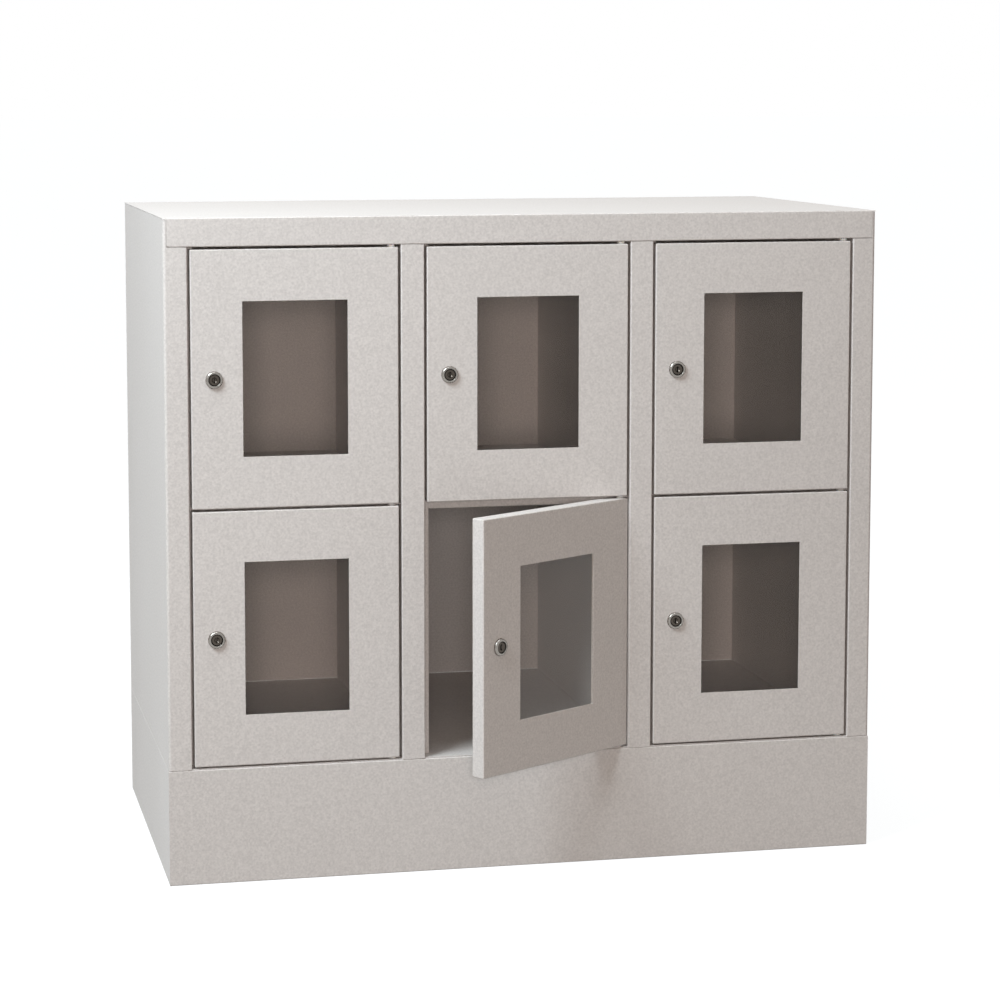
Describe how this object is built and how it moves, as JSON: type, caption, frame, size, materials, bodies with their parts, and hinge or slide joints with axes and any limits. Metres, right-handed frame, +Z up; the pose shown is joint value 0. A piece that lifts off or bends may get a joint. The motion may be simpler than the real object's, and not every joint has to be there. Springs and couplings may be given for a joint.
{
  "type": "compartment locker",
  "caption": "Low steel locker with compartments in columns and rows on a plinth, each with a windowed pivot door and a cam lock, one door standing ajar.",
  "frame": {"origin": "on the floor, midway between the sides, and midway between the back and the free edge of the open door", "axes": "+Z up, +X to the right as seen from the front, +Y from the front to the back"},
  "size_m": [0.93, 0.6334, 0.845],
  "materials": {
    "powder_coated_steel": "warm light grey powder coat, fine orange peel, semi-matt",
    "clear_acrylic": "clear, polished",
    "nickel_plated_zinc": "bright nickel plate on die-cast zinc",
    "zinc_plated_steel": "bright zinc plate, satin",
    "white_nylon": "white moulded nylon, semi-gloss"
  },
  "bodies": {
    "carcass": {"left_side_panel": "powder_coated_steel", "left_partition": "powder_coated_steel", "middle_partition": "powder_coated_steel", "right_side_panel": "powder_coated_steel", "right_lining": "powder_coated_steel", "roof_panel": "powder_coated_steel", "rear_panel": "powder_coated_steel", "floor_panel": "powder_coated_steel", "left_shelf": "powder_coated_steel", "middle_shelf": "powder_coated_steel", "right_shelf": "powder_coated_steel", "plinth_front": "powder_coated_steel", "plinth_rear": "powder_coated_steel", "plinth_left": "powder_coated_steel", "plinth_right": "powder_coated_steel", "left_top_pin": "white_nylon", "left_middle_pin": "white_nylon", "left_bottom_pin": "white_nylon", "middle_top_pin": "white_nylon", "middle_middle_pin": "white_nylon", "middle_bottom_pin": "white_nylon", "right_top_pin": "white_nylon", "right_middle_pin": "white_nylon", "right_bottom_pin": "white_nylon"},
    "lower_left_door": {"lower_left_door_panel": "powder_coated_steel", "lower_left_window_pane": "clear_acrylic", "lower_left_window_retainer": "powder_coated_steel", "lower_left_lock_housing": "nickel_plated_zinc"},
    "lower_middle_door": {"lower_middle_door_panel": "powder_coated_steel", "lower_middle_window_pane": "clear_acrylic", "lower_middle_window_retainer": "powder_coated_steel", "lower_middle_lock_housing": "nickel_plated_zinc"},
    "lower_right_door": {"lower_right_door_panel": "powder_coated_steel", "lower_right_window_pane": "clear_acrylic", "lower_right_window_retainer": "powder_coated_steel", "lower_right_lock_housing": "nickel_plated_zinc"},
    "upper_left_door": {"upper_left_door_panel": "powder_coated_steel", "upper_left_window_pane": "clear_acrylic", "upper_left_window_retainer": "powder_coated_steel", "upper_left_lock_housing": "nickel_plated_zinc"},
    "upper_middle_door": {"upper_middle_door_panel": "powder_coated_steel", "upper_middle_window_pane": "clear_acrylic", "upper_middle_window_retainer": "powder_coated_steel", "upper_middle_lock_housing": "nickel_plated_zinc"},
    "upper_right_door": {"upper_right_door_panel": "powder_coated_steel", "upper_right_window_pane": "clear_acrylic", "upper_right_window_retainer": "powder_coated_steel", "upper_right_lock_housing": "nickel_plated_zinc"},
    "lower_left_lock": {"lower_left_lock_plug": "nickel_plated_zinc", "lower_left_lock_cam": "zinc_plated_steel"},
    "lower_middle_lock": {"lower_middle_lock_plug": "nickel_plated_zinc", "lower_middle_lock_cam": "zinc_plated_steel"},
    "lower_right_lock": {"lower_right_lock_plug": "nickel_plated_zinc", "lower_right_lock_cam": "zinc_plated_steel"},
    "upper_left_lock": {"upper_left_lock_plug": "nickel_plated_zinc", "upper_left_lock_cam": "zinc_plated_steel"},
    "upper_middle_lock": {"upper_middle_lock_plug": "nickel_plated_zinc", "upper_middle_lock_cam": "zinc_plated_steel"},
    "upper_right_lock": {"upper_right_lock_plug": "nickel_plated_zinc", "upper_right_lock_cam": "zinc_plated_steel"}
  },
  "joints": [
    {"name": "lower_left_hinge", "type": "hinge", "parent": "carcass", "child": "lower_left_door", "pos_m": [-0.17665, -0.1758, 0.1514], "axis": [0, 0, 1], "range_deg": [0, 110]},
    {"name": "lower_middle_hinge", "type": "hinge", "parent": "carcass", "child": "lower_middle_door", "pos_m": [0.12335, -0.1758, 0.1514], "axis": [0, 0, 1], "range_deg": [-32, 78]},
    {"name": "lower_right_hinge", "type": "hinge", "parent": "carcass", "child": "lower_right_door", "pos_m": [0.42335, -0.1758, 0.1514], "axis": [0, 0, 1], "range_deg": [0, 110]},
    {"name": "upper_left_hinge", "type": "hinge", "parent": "carcass", "child": "upper_left_door", "pos_m": [-0.17665, -0.1758, 0.4802], "axis": [0, 0, 1], "range_deg": [0, 110]},
    {"name": "upper_middle_hinge", "type": "hinge", "parent": "carcass", "child": "upper_middle_door", "pos_m": [0.12335, -0.1758, 0.4802], "axis": [0, 0, 1], "range_deg": [0, 110]},
    {"name": "upper_right_hinge", "type": "hinge", "parent": "carcass", "child": "upper_right_door", "pos_m": [0.42335, -0.1758, 0.4802], "axis": [0, 0, 1], "range_deg": [0, 110]},
    {"name": "lower_left_lock_turn", "type": "hinge", "parent": "lower_left_door", "child": "lower_left_lock", "pos_m": [-0.4026, -0.1833, 0.3141], "axis": [0, 1, 0], "range_deg": [0, 90]},
    {"name": "lower_middle_lock_turn", "type": "hinge", "parent": "lower_middle_door", "child": "lower_middle_lock", "pos_m": [-0.06429, -0.3019, 0.3141], "axis": [-0.5299, 0.848, 0], "range_deg": [0, 90]},
    {"name": "lower_right_lock_turn", "type": "hinge", "parent": "lower_right_door", "child": "lower_right_lock", "pos_m": [0.1974, -0.1833, 0.3141], "axis": [0, 1, 0], "range_deg": [0, 90]},
    {"name": "upper_left_lock_turn", "type": "hinge", "parent": "upper_left_door", "child": "upper_left_lock", "pos_m": [-0.4026, -0.1833, 0.6429], "axis": [0, 1, 0], "range_deg": [0, 90]},
    {"name": "upper_middle_lock_turn", "type": "hinge", "parent": "upper_middle_door", "child": "upper_middle_lock", "pos_m": [-0.1026, -0.1833, 0.6429], "axis": [0, 1, 0], "range_deg": [0, 90]},
    {"name": "upper_right_lock_turn", "type": "hinge", "parent": "upper_right_door", "child": "upper_right_lock", "pos_m": [0.1974, -0.1833, 0.6429], "axis": [0, 1, 0], "range_deg": [0, 90]}
  ]
}
